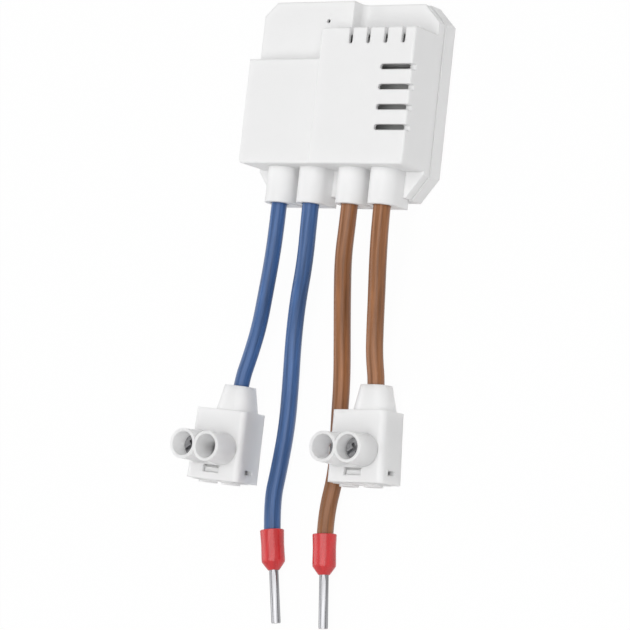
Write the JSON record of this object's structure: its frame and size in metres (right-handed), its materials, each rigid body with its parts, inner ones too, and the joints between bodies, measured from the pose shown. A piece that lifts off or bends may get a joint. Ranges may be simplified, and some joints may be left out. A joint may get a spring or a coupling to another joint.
{
  "type": "smart relay module",
  "caption": "Flat in-wall relay module with a stepped, vented white case and blue and brown leads that end in screw terminals and crimped ferrules.",
  "frame": {"origin": "middle of the case's box, on the plane of its back, without the leads", "axes": "+Z out of the front face, +Y along the case away from the leads, +X to the right seen from the front"},
  "size_m": [0.0362, 0.0928, 0.011],
  "materials": {
    "case_plastic": "fine satin",
    "terminal_plastic": "satin",
    "board": "solder mask",
    "tinned_metal": "dull tin",
    "copper": "enamelled copper",
    "black_plastic": "matt",
    "white_button": "matt",
    "relay_plastic": "satin",
    "soft_iron": "plated",
    "spring_bronze": "bright",
    "film_case": "satin",
    "capacitor_sleeve": "shrink sleeve",
    "ferrite": "sintered",
    "resistor_body": "lacquer",
    "blue_insulation": "soft sheen",
    "brown_insulation": "soft sheen",
    "red_collar": "satin",
    "ferrule_tin": "tinned",
    "clamp_brass": "turned",
    "screw_steel": "zinc plated"
  },
  "bodies": {
    "module": {"front_cover": "case_plastic", "rear_cover": "case_plastic", "main_board": "board", "radio_board": "board", "radio_shield": "tinned_metal", "antenna_wire": "copper", "pair_switch_body": "black_plastic", "relay_base": "relay_plastic", "relay_cover": "relay_plastic", "relay_bobbin": "black_plastic", "relay_coil": "copper", "relay_yoke": "soft_iron", "relay_fixed_contact": "spring_bronze", "relay_pins": "tinned_metal", "filter_capacitor": "film_case", "bulk_capacitor": "capacitor_sleeve", "choke_core": "ferrite", "choke_winding": "copper", "fusible_resistor": "resistor_body", "bridge_rectifier": "black_plastic", "blue_leads": "blue_insulation", "brown_leads": "brown_insulation", "lead_conductors": "copper", "blue_terminal_lead": "blue_insulation", "blue_ferrule_lead": "blue_insulation", "brown_ferrule_lead": "brown_insulation", "brown_terminal_lead": "brown_insulation", "blue_lead_collar": "red_collar", "brown_lead_collar": "red_collar", "blue_lead_ferrule": "ferrule_tin", "brown_lead_ferrule": "ferrule_tin", "blue_terminal_housing": "terminal_plastic", "blue_terminal_insert": "terminal_plastic", "blue_terminal_clamp": "clamp_brass", "brown_terminal_housing": "terminal_plastic", "brown_terminal_insert": "terminal_plastic", "brown_terminal_clamp": "clamp_brass"},
    "plunger": {"pair_switch_plunger": "white_button"},
    "armature": {"relay_armature": "soft_iron", "relay_contact_spring": "spring_bronze"},
    "blue_left_foot": {"blue_terminal_left_foot": "screw_steel"},
    "blue_left_screw": {"blue_terminal_left_screw": "screw_steel"},
    "blue_right_foot": {"blue_terminal_right_foot": "screw_steel"},
    "blue_right_screw": {"blue_terminal_right_screw": "screw_steel"},
    "brown_left_foot": {"brown_terminal_left_foot": "screw_steel"},
    "brown_left_screw": {"brown_terminal_left_screw": "screw_steel"},
    "brown_right_foot": {"brown_terminal_right_foot": "screw_steel"},
    "brown_right_screw": {"brown_terminal_right_screw": "screw_steel"}
  },
  "joints": [
    {"name": "pair_switch_press", "type": "slide", "parent": "module", "child": "plunger", "axis": [0, 0, -1], "range_m": [0, 0.00025], "stiffness_N_per_m": 6000},
    {"name": "armature_pull", "type": "hinge", "parent": "module", "child": "armature", "pos_m": [0.004, -0.00015, 0.0051], "axis": [0, 0, 1], "range_deg": [0, 5.2], "stiffness_Nm_per_rad": 0.02},
    {"name": "blue_left_foot_press", "type": "slide", "parent": "module", "child": "blue_left_foot", "axis": [0, 0, -1], "range_m": [-0.0005, 0.0017]},
    {"name": "blue_left_screw_turn", "type": "hinge", "parent": "blue_left_foot", "child": "blue_left_screw", "pos_m": [-0.01913, -0.05222, 0.0075], "axis": [0, 0, -1], "range_deg": [-361, 1225]},
    {"name": "blue_right_foot_press", "type": "slide", "parent": "module", "child": "blue_right_foot", "axis": [0, 0, -1], "range_m": [-0.0021, 0.0001]},
    {"name": "blue_right_screw_turn", "type": "hinge", "parent": "blue_right_foot", "child": "blue_right_screw", "pos_m": [-0.01493, -0.05235, 0.0059], "axis": [0, 0, -1], "range_deg": [-1513, 73]},
    {"name": "brown_left_foot_press", "type": "slide", "parent": "module", "child": "brown_left_foot", "axis": [0, 0, -1], "range_m": [-0.0021, 0.0001]},
    {"name": "brown_left_screw_turn", "type": "hinge", "parent": "brown_left_foot", "child": "brown_left_screw", "pos_m": [0.00569, -0.05118, 0.0059], "axis": [0, 0, -1], "range_deg": [-1513, 73]},
    {"name": "brown_right_foot_press", "type": "slide", "parent": "module", "child": "brown_right_foot", "axis": [0, 0, -1], "range_m": [0, 0.0022]},
    {"name": "brown_right_screw_turn", "type": "hinge", "parent": "brown_right_foot", "child": "brown_right_screw", "pos_m": [0.00988, -0.05099, 0.008], "axis": [0, 0, -1], "range_deg": [0, 1585]}
  ],
  "couplings": [
    {"joint": "blue_left_screw_turn", "follows": "blue_left_foot_press", "rad_per_m": 12566},
    {"joint": "blue_right_screw_turn", "follows": "blue_right_foot_press", "rad_per_m": 12566},
    {"joint": "brown_left_screw_turn", "follows": "brown_left_foot_press", "rad_per_m": 12566},
    {"joint": "brown_right_screw_turn", "follows": "brown_right_foot_press", "rad_per_m": 12566}
  ]
}
